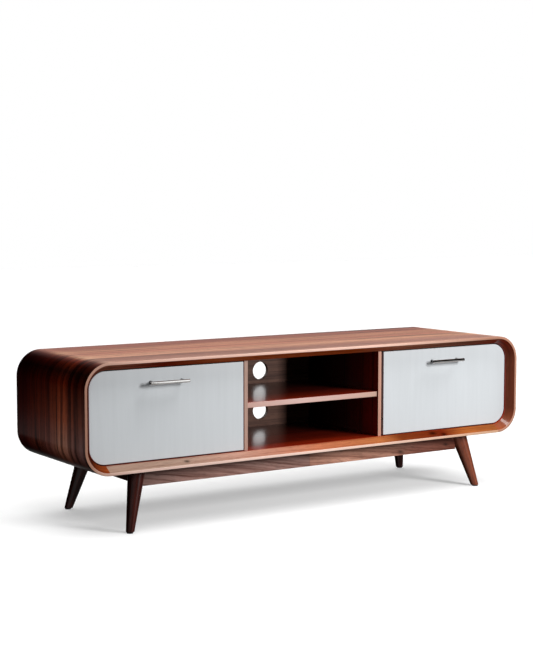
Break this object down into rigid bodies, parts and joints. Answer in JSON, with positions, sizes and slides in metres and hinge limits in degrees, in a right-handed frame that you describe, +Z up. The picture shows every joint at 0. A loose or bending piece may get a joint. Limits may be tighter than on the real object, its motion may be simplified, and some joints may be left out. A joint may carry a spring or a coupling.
{
  "type": "tv stand with doors",
  "caption": "Low walnut television stand with round-cornered case, drop-down grey doors beside a shelved open bay, and splayed tapered legs.",
  "frame": {"origin": "on the floor, under the middle of the stand's width and depth", "axes": "+X along the width to the viewer's right, +Y from the front to the back, +Z up"},
  "size_m": [1.5, 0.43, 0.465],
  "materials": {
    "walnut": "satin lacquer",
    "pale_walnut": "satin lacquer",
    "dark_walnut": "satin lacquer",
    "leg_walnut": "satin lacquer",
    "beech": "bare",
    "door_paint": "satin paint",
    "handle_steel": "fine brushed",
    "zinc_steel": "zinc plated",
    "nylon": "moulded",
    "black_steel": "black oxide"
  },
  "bodies": {
    "case": {"top_board": "walnut", "bottom_board": "walnut", "left_end_shell": "walnut", "right_end_shell": "walnut", "left_shell_dowels": "beech", "right_shell_dowels": "beech", "left_divider": "pale_walnut", "right_divider": "pale_walnut", "divider_dowels": "beech", "shelf": "pale_walnut", "shelf_pins": "zinc_steel", "back_panel": "dark_walnut", "front_rail_left_half": "walnut", "front_rail_right_half": "walnut", "rail_splice_block": "beech", "splice_screws": "zinc_steel", "rear_rail": "walnut", "left_side_rail": "walnut", "right_side_rail": "walnut", "corner_blocks": "beech", "corner_block_screws": "zinc_steel", "front_left_leg": "leg_walnut", "front_right_leg": "leg_walnut", "rear_left_leg": "leg_walnut", "rear_right_leg": "leg_walnut", "leg_bolts": "zinc_steel", "foot_glides": "nylon", "left_pivot_pins": "black_steel", "right_pivot_pins": "black_steel", "stop_pegs": "nylon", "magnet_catches": "nylon"},
    "left_flap": {"left_door": "door_paint", "left_door_bushes": "nylon", "left_handle_bar": "handle_steel", "left_handle_posts": "handle_steel", "left_handle_screws": "zinc_steel", "left_strike_plate": "zinc_steel"},
    "right_flap": {"right_door": "door_paint", "right_door_bushes": "nylon", "right_handle_bar": "handle_steel", "right_handle_posts": "handle_steel", "right_handle_screws": "zinc_steel", "right_strike_plate": "zinc_steel"}
  },
  "joints": [
    {"name": "left_door_hinge", "type": "hinge", "parent": "case", "child": "left_flap", "pos_m": [-0.485, -0.179, 0.238], "axis": [1, 0, 0], "range_deg": [0, 90]},
    {"name": "right_door_hinge", "type": "hinge", "parent": "case", "child": "right_flap", "pos_m": [0.485, -0.179, 0.238], "axis": [1, 0, 0], "range_deg": [0, 90]}
  ]
}
